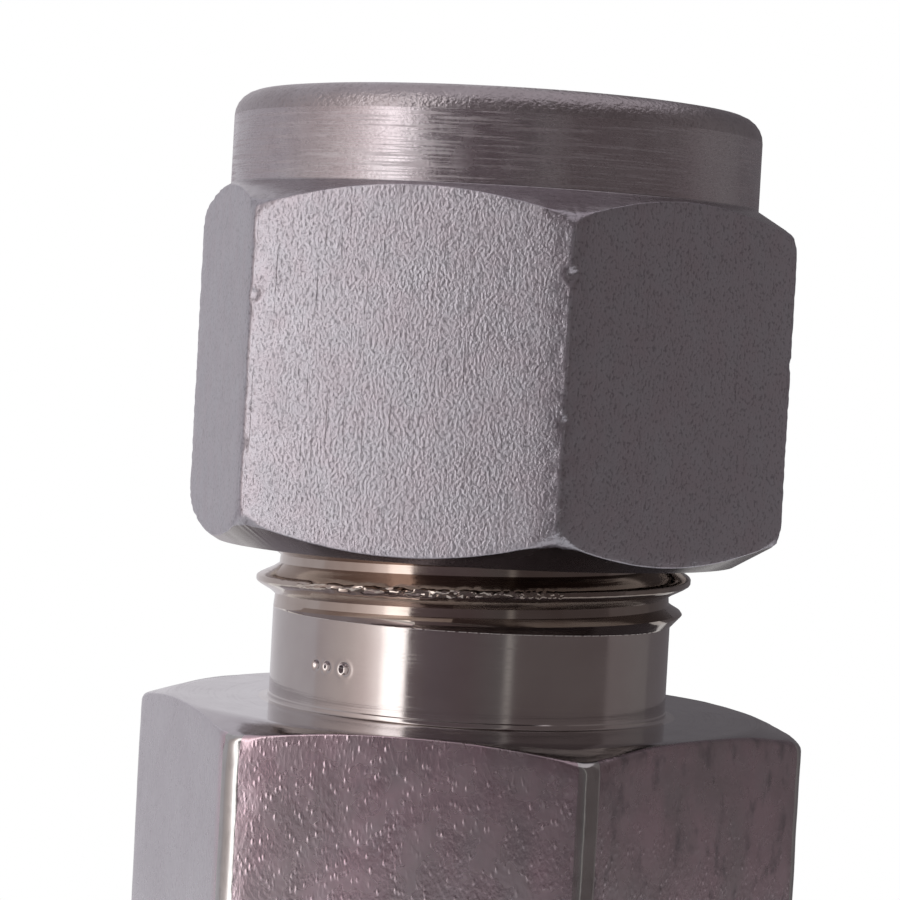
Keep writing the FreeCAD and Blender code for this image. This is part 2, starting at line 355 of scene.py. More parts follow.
# Where a point of the sheet lies on the helix, before the ends cut it off.
def threadHelix(tree, given):
    place = addNode(tree, "ShaderNodeSeparateXYZ",
                    {0: tree.nodes.new("GeometryNodeInputPosition").outputs[0]}).outputs
    across, along = Number(tree, place["X"]) + 0.5, Number(tree, place["Y"]) + 0.5
    # columns crowd together on the side that faces the viewer
    even = across * fullTurn
    bunch = (calc("SINE", calc("SUBTRACT", 0.0, given["Facing"]))
             - calc("SINE", even - given["Facing"]))
    angle = even + bunch * given["Crowding"]
    # rows crowd together along the crests
    evenTurns = along * given["Pitches"]
    wave = calc("SINE", evenTurns * fullTurn) / fullTurn
    turns = evenTurns - wave * given["Crest Crowding"]
    height = given["First Crest"] + (turns + angle / fullTurn) * given["Pitch"]
    # 0 at a crest, 0.5 in the root between two
    fromCrest = calc("ABSOLUTE", calc("FRACT", turns + 0.5) - 0.5)
    return {"angle": angle, "cosine": calc("COSINE", angle), "sine": calc("SINE", angle),
            "height": height, "fromCrest": fromCrest}


# 1 on a crest, 0 in the root.
def threadSection(given, helix):
    flankEnd = given["Crest Half Width"] + given["Flank Width"]
    flank = (helix["fromCrest"], given["Crest Half Width"], flankEnd, 1.0, 0.0)
    straight = ramp(*flank)
    return straight + (ramp(*flank, smooth=True) - straight) * given["Root Softness"]


# The ragged lip on the crests, as shifts outwards and upwards. It is strongest on one side, and
# only the first ridges carry it, where the nut doesn't run over them.
def threadBurr(tree, given, helix):
    outwards, upwards, otherSeed = 3.0, 1.5, 9.0
    around = combine(tree, helix["cosine"] * given["Crest Radius"],
                     helix["sine"] * given["Crest Radius"], helix["height"])

    def ragged(seed):
        grain = addNode(tree, "ShaderNodeTexNoise",
                        {"Vector": around, "W": seed, "Detail": 1.0,
                         "Scale": calc("DIVIDE", 1.0, given["Burr Grain"])},
                        noise_dimensions="4D")
        return Number(tree, grain.outputs[0])

    onCrest = ramp(helix["fromCrest"], 0.06, 0.17, 1.0, 0.0, smooth=True)
    facing = ramp(calc("COSINE", helix["angle"] - given["Facing"]), 0.72, 0.95, 0.06, 1.0)
    firstRidges = ramp(helix["height"] - given["Start Height"], 1.8, 2.2, 1.0, 0.0)
    lip = onCrest * facing * firstRidges * given["Burr Height"]
    return ((ragged(given["Seed"]) - 0.55) * lip * outwards,
            (ragged(given["Seed"] + otherSeed) - 0.5) * lip * upwards)


def buildThreadTree():
    tree = bpy.data.node_groups.new("CutThread", "GeometryNodeTree")
    kinds = {int: "NodeSocketInt", float: "NodeSocketFloat", bool: "NodeSocketBool"}
    for label, value in threadInputs.items():
        tree.interface.new_socket(name=label, in_out="INPUT", socket_type=kinds[type(value)])
    tree.interface.new_socket(name="Material", in_out="INPUT", socket_type="NodeSocketMaterial")
    tree.interface.new_socket(name="Geometry", in_out="OUTPUT", socket_type="NodeSocketGeometry")
    inputs = tree.nodes.new("NodeGroupInput").outputs
    given = {label: Number(tree, inputs[label]) for label in threadInputs}
    sheet = addNode(tree, "GeometryNodeMeshGrid",
                    {"Size X": 1.0, "Size Y": 1.0, "Vertices X": given["Turn Steps"] + 1,
                     "Vertices Y": given["Rows"] + 1})
    helix = threadHelix(tree, given)
    outward, upward = threadBurr(tree, given, helix)
    height = calc("MINIMUM", given["End Height"],
                  calc("MAXIMUM", given["Start Height"], helix["height"] + upward))
    fromStart, fromEnd = height - given["Start Height"], height - given["End Height"]
    # the tool draws back towards the start, and the root with it
    root = given["Root Radius"] + ramp(fromStart, 0.0, given["Rise Reach"], given["Root Rise"], 0.0)
    radius = (given["Crest Radius"] - root) * threadSection(given, helix) + root
    radius = calc("MAXIMUM", radius + fromStart * given["Taper"], given["Least Radius"]) + outward
    for run, end in ((fromStart, "Start"), (fromEnd, "End")):
        cone = given[end + " Radius"] + run * given[end + " Slope"]
        cut = addNode(tree, "GeometryNodeSwitch",
                      {"Switch": given[end + " Opens"], "False": calc("MINIMUM", radius, cone),
                       "True": calc("MAXIMUM", radius, cone)}, input_type="FLOAT")
        radius = Number(tree, cut.outputs[0])
    spot = combine(tree, radius * helix["cosine"], radius * helix["sine"], height)
    inMetres = addNode(tree, "ShaderNodeVectorMath", {0: spot, "Scale": mm}, operation="SCALE")
    placed = addNode(tree, "GeometryNodeSetPosition",
                     {"Geometry": sheet.outputs["Mesh"], "Position": inMetres.outputs[0]})
    merged = addNode(tree, "GeometryNodeMergeByDistance",
                     {"Geometry": placed.outputs[0], "Distance": 0.001 * mm})
    real = addNode(tree, "GeometryNodeRealizeInstances", {"Geometry": merged.outputs[0]})
    finished = addNode(tree, "GeometryNodeSetMaterial",
                       {"Geometry": real.outputs[0], "Material": inputs["Material"]})
    addNode(tree, "NodeGroupOutput", {"Geometry": finished.outputs[0]})
    return tree


threadTree = buildThreadTree()


# Runs the tree with this thread's own sizes and gives back a plain mesh in the wanted slot.
def cutThread(name, sizes, slot):
    holder = show(bpy.data.meshes.new(name), name)
    modifier = holder.modifiers.new("CutThread", "NODES")
    modifier.node_group = threadTree
    values = dict(threadInputs, **sizes)
    for item in threadTree.interface.items_tree:
        if item.name in values:
            modifier[item.identifier] = type(threadInputs[item.name])(values[item.name])
        elif item.name == "Material":
            modifier[item.identifier] = threadSteel
    holder.update_tag()
    mesh = applied(holder)
    mesh.polygons.foreach_set("material_index", [slot] * len(mesh.polygons))
    return mesh


# A material or a world with an empty node tree.
def emptied(block):
    block.use_nodes = True
    block.node_tree.nodes.clear()
    return block


def mixColour(tree, factor, first, second, blend="MIX"):
    inputs = {0: factor}
    for key, colour in ((6, first), (7, second)):
        inputs[key] = colour + (1,) if isinstance(colour, tuple) else colour
    return addNode(tree, "ShaderNodeMix", inputs, data_type="RGBA", blend_type=blend).outputs[2]


# A steel finish, mottled between two tones, to which layers are added. `tall` is how much longer
# a form is up the bar than across it. A cloud's values lie about 0.5, and a ramp of one starts
# and ends at two of them. The shifts keep one layer's noise off another's.
class Steel:
    def __init__(self, name, colour, shade, roughness, spread, patch=2.2):
        self.made = emptied(bpy.data.materials.new(name))
        self.tree = self.made.node_tree
        coords = self.tree.nodes.new("ShaderNodeTexCoord").outputs["Object"]
        self.spot = addNode(self.tree, "ShaderNodeMapping",
                            {"Vector": coords, "Scale": (1 / mm,) * 3}).outputs[0]
        axes = addNode(self.tree, "ShaderNodeSeparateXYZ", {0: self.spot}).outputs
        self.x, self.y, self.z = (Number(self.tree, axis) for axis in axes)
        self.colour = mixColour(self.tree, ramp(self.cloud(patch, detail=3), 0.35, 0.65),
                                colour, shade)
        self.rough = ramp(self.cloud(1.0, detail=3, shift=5), 0.3, 0.7,
                          roughness - spread, roughness + spread)
        self.heights = []
        self.brushing = None

    def cloud(self, size, tall=1.0, detail=2.0, shift=0.0, roughness=0.55, vector=None):
        placed = addNode(self.tree, "ShaderNodeMapping", {
            "Vector": vector or self.spot, "Scale": (1 / size, 1 / size, 1 / (size * tall)),
            "Location": (shift, shift * 0.7, shift * 0.3)})
        made = addNode(self.tree, "ShaderNodeTexNoise",
                       {"Vector": placed.outputs[0], "Scale": 1.0, "Detail": detail,
                        "Roughness": roughness})
        return Number(self.tree, made.outputs[0])

    def tint(self, factor, tone, blend="MIX"):
        self.colour = mixColour(self.tree, factor, self.colour, tone, blend)

    # From one value to another between two distances from the axis, towards a side of the part.
    def towards(self, facing, low, high, atLow=0.0, atHigh=1.0):
        direction = placeAt(1, facing, 0).tolist()
        reach = addNode(self.tree, "ShaderNodeVectorMath", {0: self.spot, 1: direction},
                        operation="DOT_PRODUCT").outputs["Value"]
        return ramp(Number(self.tree, reach), low, high, atLow, atHigh)

    # Tumbled skin, whose hollows are darker by a factor.
    def grain(self, size, height, tall, hollow):
        skin = self.cloud(size, tall, roughness=0.5)
        self.heights.append(skin * height)
        self.tint(1.0, ramp(skin, 0.34, 0.46, hollow, 1.0), blend="MULTIPLY")
        return self

    # Small raised grains of all heights, standing apart. The width is a share of the spacing.
    def glints(self, spacing, height, width, tall):
        placed = addNode(self.tree, "ShaderNodeMapping",
                         {"Vector": self.spot, "Scale": (1, 1, 1 / tall)})
        cells = addNode(self.tree, "ShaderNodeTexVoronoi",
                        {"Vector": placed.outputs[0], "Scale": 1 / spacing}).outputs
        bump = ramp(Number(self.tree, cells["Distance"]), 0, width, 1.0, 0.0, smooth=True)
        chance = addNode(self.tree, "ShaderNodeSeparateColor", {0: cells["Color"]}).outputs[0]
        self.heights.append(bump * ramp(Number(self.tree, chance), 0.1, 1.0) * height)
        return self

    # Long lines left by drawing the bar, where noise passes `least`.
    def drawn(self, size, depth, least):
        line = ramp(self.cloud(size, 60, shift=11), least, least + 0.07)
        self.heights.append(line * -depth)
        self.tint(line * 0.4, (0.12, 0.1, 0.105))
        return self

    # Tool lines of a finite length round the axis, some of them duller.
    def turned(self, size, length, depth, dull):
        radius = calc("SQRT", self.x * self.x + self.y * self.y)
        unrolled = combine(self.tree, self.x, self.y, self.z + radius)
        lines = self.cloud(length, size / length, detail=2.5, shift=23, vector=unrolled)
        self.heights.append(lines * depth)
        self.rough = calc("ADD", self.rough, ramp(lines, 0.5, 0.62, 0.0, dull), clamp=True)
        return self

    # A thin oxide film on one side, between two tones.
    def film(self, size, tones, facing, low, high):
        patchy = ramp(self.cloud(size * 0.4, 1.2, detail=4, shift=61), 0.3, 0.5, 0.75, 1.0)
        spots = self.cloud(size, 1.6, detail=4, shift=43, roughness=0.6)
        tone = mixColour(self.tree, ramp(spots, 0.4, 0.6), *tones)
        self.tint(self.towards(facing, low, high) * patchy, tone)
        return self

    # Soft dark stains on one side.
    def stained(self, size, tone, amount, facing, low, high):
        blot = ramp(self.cloud(size, 1.7, detail=4, shift=77, roughness=0.6), 0.53, 0.68)
        self.tint(blot * self.towards(facing, low, high) * amount, tone)
        return self

    # Painted shade: the colour darker by a factor towards one side, standing in for the side the
    # light reaches less.
    def paintedShade(self, facing, low, high, dark):
        self.tint(1.0, self.towards(facing, low, high, 1.0, dark), blend="MULTIPLY")
        return self

    # Spreads the shine up and down, across the tool lines.
    def brushed(self, amount):
        self.brushing = amount
        return self

    def material(self):
        principled = addNode(self.tree, "ShaderNodeBsdfPrincipled", {
            "Base Color": self.colour, "Metallic": 1.0, "Roughness": self.rough})
        if self.heights:
            total = sum(self.heights[1:], self.heights[0])
            bump = addNode(self.tree, "ShaderNodeBump",
                           {"Height": total, "Distance": mm, "Strength": 1.0})
            self.tree.links.new(bump.outputs[0], principled.inputs["Normal"])
        if self.brushing:
            principled.inputs["Anisotropic"].default_value = self.brushing
            around = combine(self.tree, self.y * -1.0, self.x, 0.0)
            along = addNode(self.tree, "ShaderNodeVectorMath", {0: around}, operation="NORMALIZE")
            self.tree.links.new(along.outputs[0], principled.inputs["Tangent"])
        addNode(self.tree, "ShaderNodeOutputMaterial", {"Surface": principled.outputs[0]})
        return self.made


nutFlatSteel = (
    Steel("NutTumbledFlats", (0.465, 0.45, 0.495), (0.465, 0.43, 0.475), 0.345, 0.03, patch=0.9)
    .grain(size=0.092, height=0.0185, tall=1.25, hollow=0.7)
    .drawn(size=0.05, depth=0.01, least=0.68).material())
# Nut foot and lower chamfer: the darker colour is painted shade for the dark reflections under the
# nut, and painted shade darkens it further towards the right.
nutFootShadedSteel = (
    Steel("NutFootShaded", (0.39, 0.345, 0.345), (0.35, 0.30, 0.30), 0.25, 0.04)
    .paintedShade(facing=-40, low=-4, high=4, dark=0.5).material())
nutChamferSteel = (
    Steel("NutChamfers", (0.45, 0.425, 0.45), (0.39, 0.36, 0.385), 0.22, 0.04)
    .grain(size=0.14, height=0.006, tall=1.0, hollow=0.85)
    .turned(size=0.06, length=2.0, depth=0.006, dull=0.08).material())
collarSteel = (
    Steel("NutTurnedCollar", (0.56, 0.525, 0.555), (0.49, 0.44, 0.47), 0.25, 0.05)
    .grain(size=0.12, height=0.008, tall=0.6, hollow=0.85)
    .turned(size=0.06, length=2.2, depth=0.014, dull=0.22).brushed(0.3).material())
collarTopSteel = (
    Steel("NutTopTumbled", (0.46, 0.425, 0.45), (0.40, 0.36, 0.38), 0.34, 0.06)
    .grain(size=0.14, height=0.035, tall=0.8, hollow=0.85).material())
neckSteel = (
    Steel("PolishedNeck", (0.57, 0.53, 0.52), (0.53, 0.48, 0.475), 0.10, 0.02)
    .turned(size=0.05, length=3.0, depth=0.0015, dull=0.035).brushed(0.6).material())
# Cut threads: painted shade darkens their right-hand side.
threadSteel = (
    Steel("CutThreads", (0.56, 0.49, 0.45), (0.46, 0.38, 0.34), 0.1, 0.04)
    .turned(size=0.05, length=2.0, depth=0.0015, dull=0.04)
    .paintedShade(facing=-10, low=0.3, high=3.5, dark=0.6).material())
# Faced shoulder: painted shade darkens it towards the right.
shoulderSteel = (
    Steel("FacedShoulder", (0.51, 0.485, 0.51), (0.44, 0.41, 0.435), 0.12, 0.04)
    .turned(size=0.07, length=3.0, depth=0.002, dull=0.06)
    .paintedShade(facing=-10, low=-1, high=8, dark=0.76).material())
# Body flats: an oxide film and real stains, and painted shade that darkens the right-hand face.
bodyFlatSteel = (
    Steel("BodyTumbledFlats", (0.61, 0.585, 0.625), (0.57, 0.54, 0.58), 0.27, 0.03)
    .grain(size=0.12, height=0.007, tall=1.6, hollow=0.92)
    .glints(spacing=0.13, height=0.0085, width=0.48, tall=2.2)
    .film(size=2.4, tones=[(0.66, 0.505, 0.565), (0.545, 0.455, 0.49)], facing=-60, low=4.6, high=5.2)
    .stained(size=0.75, tone=(0.30, 0.265, 0.29), amount=0.75, facing=-30, low=9.0, high=9.5)
    .paintedShade(facing=-30, low=3, high=9.6, dark=0.66).material())
cornerSteel = (
    Steel("WornCorners", (0.58, 0.57, 0.57), (0.50, 0.49, 0.49), 0.13, 0.03)
    .grain(size=0.2, height=0.004, tall=3.0, hollow=0.9).material())
boreSteel = (
    Steel("BoredSteel", (0.55, 0.52, 0.53), (0.48, 0.45, 0.46), 0.2, 0.05)
    .turned(size=0.06, length=2.0, depth=0.004, dull=0.1).material())
ferruleSteel = (
    Steel("FerruleSteel", (0.60, 0.57, 0.575), (0.55, 0.52, 0.53), 0.15, 0.03)
    .turned(size=0.05, length=2.0, depth=0.003, dull=0.08).brushed(0.5).material())
print("steel finishes ready")


# Connector body. Heights of the neck, its marks, the thread and the socket are over the shoulder.
body = {
    "half": 9.555, "corner": 0.7, "turn": 0, "droop": 0.012, "droopWidth": 0.5,
    "flatPieces": 30, "cornerPieces": 9, "flatRows": 60,
    "edge": 0.07, "cornerWear": 0.2, "endWear": (0.3, 0.03, 3), "sideWear": (1.4, 0.03, 4),
    # the right-hand face's top edge is worn rounder than the others
    "wornEdge": 0.26, "wornFacing": 50, "wornWithin": 33, "wornFade": 6,
    "coneRadius": 9.525, "coneSlope": slopeOf(17), "coneMargin": 0.14, "coneEdgeShare": 0.6,
    "faceInside": 8.4,
    "portFaceRadius": 9.005, "portFaceSlope": slopeOf(30), "portFaceWidth": 0.4, "portEdge": 0.08,
    "neckRadius": 6.4375, "neckFoot": 0.035, "neckLine": 0.167, "marksFrom": 1.15, "marksTo": 1.85,
    "threadStart": 2.94, "threadEnd": 12.77, "pitch": 1.27, "crestAtCamera": 4.136,
    "crest": 7.03, "root": 6.27, "rootRise": 0.168, "riseReach": 1.8,
    "leadIn": 6.26, "runoutSlope": 0.9,
    "socketRadius": 4.8275, "socketFloor": 2.62, "mouthRadius": 5.7479, "mouthDepth": 4.33,
    "flowRadius": 3.56, "portRadius": 5.556, "portDepth": 15.5, "drillPointSlope": slopeOf(59),
    "countersink": 1.3, "portThreadEnd": 13.4, "portPitch": 1.411, "portCrest": 5.70,
    "portRoot": 6.72, "threadColumns": 320, "boreColumns": 120,
    # punch marks: (angle from the camera, height, radius, depth)
    "marks": [(-47.4, 1.47, 0.2, 0.07), (-42.9, 1.465, 0.21, 0.075), (-36.6, 1.46, 0.26, 0.1)],
    # dings on the shoulder's edge: (angle from the camera, distance out, height, radius, depth)
    "dings": [(-66, 9.75, 19.5, 0.25, 0.1), (-62, 9.95, 19.4, 0.3, 0.12),
              (-50, 10.7, 19.1, 0.3, 0.1), (-41.5, 10.85, 19.0, 0.25, 0.09),
              (-20, 9.7, 19.55, 0.2, 0.05), (58, 9.8, 19.5, 0.25, 0.07)],
}
bodySteels = {"flats": bodyFlatSteel, "ends": shoulderSteel, "neck": neckSteel,
              "thread": threadSteel, "bore": boreSteel, "corners": cornerSteel}


# The place of each named finish in a piece's list.
def slotsOf(steels):
    return {name: place for place, name in enumerate(steels)}


# The first crest of a thread in step with the body's, a pitch or more below a height.
def crestBelow(height, offset=0.0):
    pitch = body["pitch"]
    crest = shoulder + body["crestAtCamera"] - pitch * fromCamera(0) / 360 + offset
    return crest - pitch * math.ceil((crest - height) / pitch + 1)


def bodyHexagonCorners(angle, reach, nearCorner):
    away = abs((angle - fromCamera(body["wornFacing"]) + 180) % 360 - 180)
    worn = max(0.0, min(1.0, (body["wornWithin"] - away) / body["wornFade"]))
    edge = body["edge"] + (body["wornEdge"] - body["edge"]) * worn
    edge += body["cornerWear"] * nearCorner
    coneStart = min(body["coneRadius"], reach - body["coneMargin"] - edge * body["coneEdgeShare"])
    startDrop, drop = (max(0.0, radius - body["coneRadius"]) * body["coneSlope"]
                       for radius in (coneStart, reach))
    rise = (reach - body["portFaceRadius"]) * body["portFaceSlope"]
    return [
        (body["faceInside"], shoulder, 0, 3),
        (coneStart, shoulder - startDrop, 0, 3),
        (reach, shoulder - drop, edge, body["flatRows"]),
        (reach, rise, body["portEdge"] + body["cornerWear"] * nearCorner, 2),
        (body["portFaceRadius"], 0, body["portEdge"], 1),
        (body["portFaceRadius"] - body["portFaceWidth"], 0, 0, 1),
    ]


def addBodyHexagon(skin, slot):
    columns = hexagonColumns(body)
    profiles, labels = profilesOf(columns, bodyHexagonCorners, steps=4)
    band = bandLabels(labels)
    slots = np.full((len(band), len(columns)), slot["flats"])
    slots[:, columns[:, 3] == 1] = slot["corners"]
    slots[(band < 2) | (band > 3)] = slot["ends"]
    hexagon = skin.rings(columns[:, 0], profiles, slots)
    skin.wearHexagon(hexagon, labels, columns, body)
    skin.dent([(placeFromCamera(out, angle, height), size, depth)
               for angle, out, height, size, depth in body["dings"]])
    return hexagon


# Columns and rows lie closer round the marks.
def addNeck(skin, hexagon, slot):
    columnStep, fineStep, leastStep, fineReach = 1.8, 0.35, 0.2, 4
    fine = np.concatenate([fromCamera(mark[0]) + np.arange(-fineReach, fineReach, fineStep)
                           for mark in body["marks"]])
    angles = np.unique(np.round(np.concatenate([np.arange(0, 360, columnStep), fine % 360]), 3))
    angles = angles[np.append(True, np.diff(angles) > leastStep)]
    radius, foot = body["neckRadius"], body["neckRadius"] + body["neckFoot"]
    line, top = shoulder + body["neckLine"], shoulder + body["threadStart"]
    rows, _ = filleted([
        (radius + 0.32, shoulder, 0, 1),
        (foot, shoulder, 0.12, 1),
        (foot, line - 0.01, 0.012, 1),
        (radius, line + 0.03, 0.02, 5),
        (radius, shoulder + body["marksFrom"], 0, 22),
        (radius, shoulder + body["marksTo"], 0, 5),
        (radius, top - 0.06, 0, 1),
    ], steps=3)
    neck = skin.rings(angles, rows, slot["neck"])
    skin.bridge(hexagon[0], neck[0], slot["ends"])
    skin.dent([(placeFromCamera(radius, angle, shoulder + height), size, depth)
               for angle, height, size, depth in body["marks"]], rim=0.15)
    below = skin.tube(body["boreColumns"], [[radius, top - 0.04], [radius, top - 0.02]],
                      slot["neck"])
    skin.bridge(neck[-1], below[0], slot["neck"])
    return below[-1]


# From the threaded end's face down to the port's thread, with the port's mouth.
def addBodyBore(skin, hexagon, slot):
    end, leadIn, columns = shoulder + body["threadEnd"], body["leadIn"], body["boreColumns"]
    face = skin.tube(columns, [[leadIn - 0.06, end], [leadIn - 0.12, end]], slot["bore"])
    tipRise = (body["portRadius"] - body["flowRadius"]) / body["drillPointSlope"]
    rows, _ = filleted([
        (body["mouthRadius"] + 0.25, end, 0, 1),
        (body["mouthRadius"], end, 0.05, 3),
        (body["socketRadius"], end - body["mouthDepth"], 0.1, 3),
        (body["socketRadius"], shoulder + body["socketFloor"], 0.05, 1),
        (body["flowRadius"], shoulder + body["socketFloor"], 0.1, 4),
        (body["flowRadius"], body["portDepth"] + tipRise, 0.05, 2),
        (body["portRadius"], body["portDepth"], 0.05, 2),
        (body["portRadius"], body["portThreadEnd"], 0, 1),
    ], steps=3)
    bore = skin.tube(columns, rows, slot["bore"])
    skin.bridge(face[-1], bore[0], slot["bore"])
    opening = body["portRadius"] + body["countersink"]
    portMouth = skin.tube(columns, [[opening, 0], [opening + 0.1, 0]], slot["bore"])
    skin.bridge(hexagon[-1], portMouth[-1], slot["bore"])
    return face[0]


def cutMaleThread(slot):
    start = shoulder + body["threadStart"]
    return cutThread("maleThread", {
        "Turn Steps": body["threadColumns"], "Rows": 16 * 10, "Pitches": 10.0,
        "Pitch": body["pitch"], "First Crest": crestBelow(start),
        "Crest Radius": body["crest"], "Root Radius": body["root"], "Flank Width": 0.33,
        "Root Rise": body["rootRise"], "Rise Reach": body["riseReach"],
        "Start Height": start, "Start Radius": body["neckRadius"],
        "Start Slope": body["runoutSlope"], "End Height": shoulder + body["threadEnd"],
        "End Radius": body["leadIn"], "End Slope": -1.0, "Burr Height": 0.11, "Burr Grain": 0.08,
        "Facing": math.radians(fromCamera(-18)), "Crowding": 0.75, "Crest Crowding": 0.7}, slot)


def cutPortThread(slot):
    return cutThread("portThread", {
        "Turn Steps": body["boreColumns"], "Rows": 12 * 11, "Pitches": 11.0,
        "Pitch": body["portPitch"], "First Crest": -1.5 * body["portPitch"],
        "Crest Radius": body["portCrest"], "Root Radius": body["portRoot"],
        "Least Radius": body["portRadius"], "Taper": -1 / 32,
        "Crest Half Width": 1 / 24, "Flank Width": 10 / 24, "Root Softness": 0.2,
        "Start Height": 0.0, "Start Radius": body["portRadius"] + body["countersink"],
        "Start Slope": -1.0, "Start Opens": True, "End Height": body["portThreadEnd"],
        "End Radius": body["portRadius"], "End Slope": -0.35}, slot)


def buildConnectorBody():
    skin, slot = Skin(), slotsOf(bodySteels)
    hexagon = addBodyHexagon(skin, slot)
    below = addNeck(skin, hexagon, slot)
    above = addBodyBore(skin, hexagon, slot)
    male, port = cutMaleThread(slot["thread"]), cutPortThread(slot["thread"])
    # the thread's own columns are uneven, so its end rings are bridged to even ones
    skin.joinThread(male, below, above, slot["neck"])
    return weld("connectorBody", [meshFrom(skin, "bodySkin", bodySteels.values()), male, port])


bodyPiece = buildConnectorBody()
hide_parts("connector_body")
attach(bodyPiece, "connector")


# Tube nut
nut = {
    "half": 8.70, "corner": 0.2, "turn": -6.1, "droop": 0.02, "droopWidth": 0.7,
    "flatPieces": 40, "cornerPieces": 7, "flatRows": 76, "columns": 160,
    "edge": 0.06, "cornerWear": 0.45, "endWear": (0.22, 0.05, 5), "sideWear": (0.25, 0.03, 6),
    "foot": 24.64, "footRadius": 8.39, "footSlope": slopeOf(31),
    "collarRadius": 8.52, "collarBase": 36.03, "top": 39.02, "topRounding": 0.8,
    "boreRadius": 4.8625, "mouthChamfer": 0.25, "entry": 7.4975,
    "threadBore": 7.1475, "threadEnd": 31.8, "crest": 6.62, "root": 7.11, "driveFoot": 32.3,
    # dings on the corners: (angle from +X, height, radius, depth), this far out
    "dingsOut": 9.95,
    "dings": [(-125.6, 32.42, 0.26, 0.12), (-66.1, 33.46, 0.26, 0.10), (-66.1, 29.1, 0.2, 0.05),
              (-126.1, 27.9, 0.22, 0.05), (-6.1, 31.2, 0.25, 0.06), (53.9, 29.9, 0.3, 0.07)],
}
nutSteels = {"flats": nutFlatSteel, "chamfers": nutChamferSteel, "collar": collarSteel,
             "thread": threadSteel, "bore": boreSteel, "top": collarTopSteel, "foot": nutFootShadedSteel}


def nutCorners(angle, reach, nearCorner):
    edge = nut["edge"] + nut["cornerWear"] * nearCorner
    footRise = (reach - nut["footRadius"]) * nut["footSlope"]
    collarDrop = (reach - nut["collarRadius"]) * nut["footSlope"]
    return [
        (nut["footRadius"] - 0.35, nut["foot"], 0, 1),
        (nut["footRadius"], nut["foot"], 0.05, 2),
        (reach, nut["foot"] + footRise, edge, nut["flatRows"]),
        (reach, nut["collarBase"] - collarDrop, edge, 2),
        (nut["collarRadius"], nut["collarBase"], 0.06, 10),
        (nut["collarRadius"], nut["top"], nut["topRounding"], 3),
        (nut["boreRadius"] + 0.6, nut["top"], 0, 1),
    ]


def addNutOutside(skin, slot):
    columns = hexagonColumns(nut)
    profiles, labels = profilesOf(columns, nutCorners, steps=6)
    band = bandLabels(labels)
    slots = np.select([band < 2, band <= 3, band < 4.2, band < 5],
                      [slot["foot"], slot["flats"], slot["chamfers"], slot["collar"]], slot["top"])
    outside = skin.rings(columns[:, 0], profiles, slots[:, None])
    skin.wearHexagon(outside, labels, columns, nut)
    skin.dent([(placeAt(nut["dingsOut"], angle, height), size, depth)
               for angle, height, size, depth in nut["dings"]], rim=0.1)
    return outside


def addNutInside(skin, outside, slot):
    foot = skin.tube(nut["columns"], [[nut["entry"] + 0.05, nut["foot"]],
                                      [nut["entry"], nut["foot"]]], slot["foot"])
    skin.bridge(outside[0], foot[0], slot["foot"])
    driveTop = nut["driveFoot"] + nut["threadBore"] - nut["boreRadius"]
    rows, _ = filleted([
        (nut["boreRadius"] + 0.45, nut["top"], 0, 1),
        (nut["boreRadius"] + nut["mouthChamfer"], nut["top"], 0.03, 1),
        (nut["boreRadius"], nut["top"] - nut["mouthChamfer"], 0.03, 4),
        (nut["boreRadius"], driveTop, 0.03, 3),
        (nut["threadBore"], nut["driveFoot"], 0.1, 2),
        (nut["threadBore"], nut["threadEnd"], 0, 1),
    ], steps=3)
    bore = skin.tube(nut["columns"], rows, slot["bore"])
    skin.bridge(outside[-1], bore[0], slot["top"])


# Half a pitch off the body's thread, so crest lies in root.
def cutNutThread(slot):
    return cutThread("nutThread", {
        "Turn Steps": nut["columns"], "Rows": 12 * 9, "Pitches": 9.0, "Pitch": body["pitch"],
        "First Crest": crestBelow(nut["foot"], offset=body["pitch"] / 2),
        "Crest Radius": nut["crest"], "Root Radius": nut["root"], "Crest Half Width": 1 / 12,
        "Start Height": nut["foot"], "Start Radius": nut["entry"], "Start Slope": -1.0,
        "Start Opens": True, "End Height": nut["threadEnd"], "End Radius": nut["threadBore"],
        "End Slope": 1.0, "End Opens": True}, slot)


def buildTubeNut():
    skin, slot = Skin(), slotsOf(nutSteels)
    outside = addNutOutside(skin, slot)
    addNutInside(skin, outside, slot)
    female = cutNutThread(slot["thread"])
    return weld("tubeNut", [meshFrom(skin, "nutSkin", nutSteels.values()), female])


nutPiece = buildTubeNut()
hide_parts("tube_nut")
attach(nutPiece, "nut")


# Ferrules, seen when the nut is off. Corners are (radius, height over the seat, fillet).
ferrules = {
    "columns": 180, "frontSeat": 32.37, "backSeat": 34.03,
    "front": [(4.8025, 0.95, 0.06), (4.8025, -3, 0.04), (5.0503, -3, 0.06), (5.7518, 0.3, 0.15),
              (6.048, 0.596, 0.08), (6.048, 1.6, 0.08), (5.4525, 1.6, 0.04)],
    "back": [(4.8025, 1.25, 0.05), (4.8025, -0.5, 0.03), (4.9276, -0.5, 0.03), (5.4276, 0, 0.03),
             (5.7525, 0, 0.05), (5.7525, 0.75, 0.05), (5.2525, 1.25, 0.05)],
}


# A turned ring, closed on itself from the middle of its last run.
def turnedRing(name, seat, corners):
    skin = Skin()
    run = [(radius, seat + height, fillet, 3) for radius, height, fillet in corners]
    middle = ((run[0][0] + run[-1][0]) / 2, (run[0][1] + run[-1][1]) / 2, 0, 2)
    closed, _ = filleted([middle] + run + [middle], steps=3)
    skin.tube(ferrules["columns"], closed, 0)
    return weld(name, [meshFrom(skin, name, [ferruleSteel])])


for name, node, seat, corners in (
        ("frontFerrule", "front_ferrule", ferrules["frontSeat"], ferrules["front"]),
        ("backFerrule", "back_ferrule", ferrules["backSeat"], ferrules["back"])):
    ring = turnedRing(name, seat, corners)
    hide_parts(node)
    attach(ring, "ferrules")


# Camera, before it is turned round the part. Its height is over the port face.
view = {"lens": 123.53, "sensor": 36, "distance": 100.15, "height": shoulder + 11.34,
        "pitch": -1.767, "yaw": -0.567, "roll": 3.173}


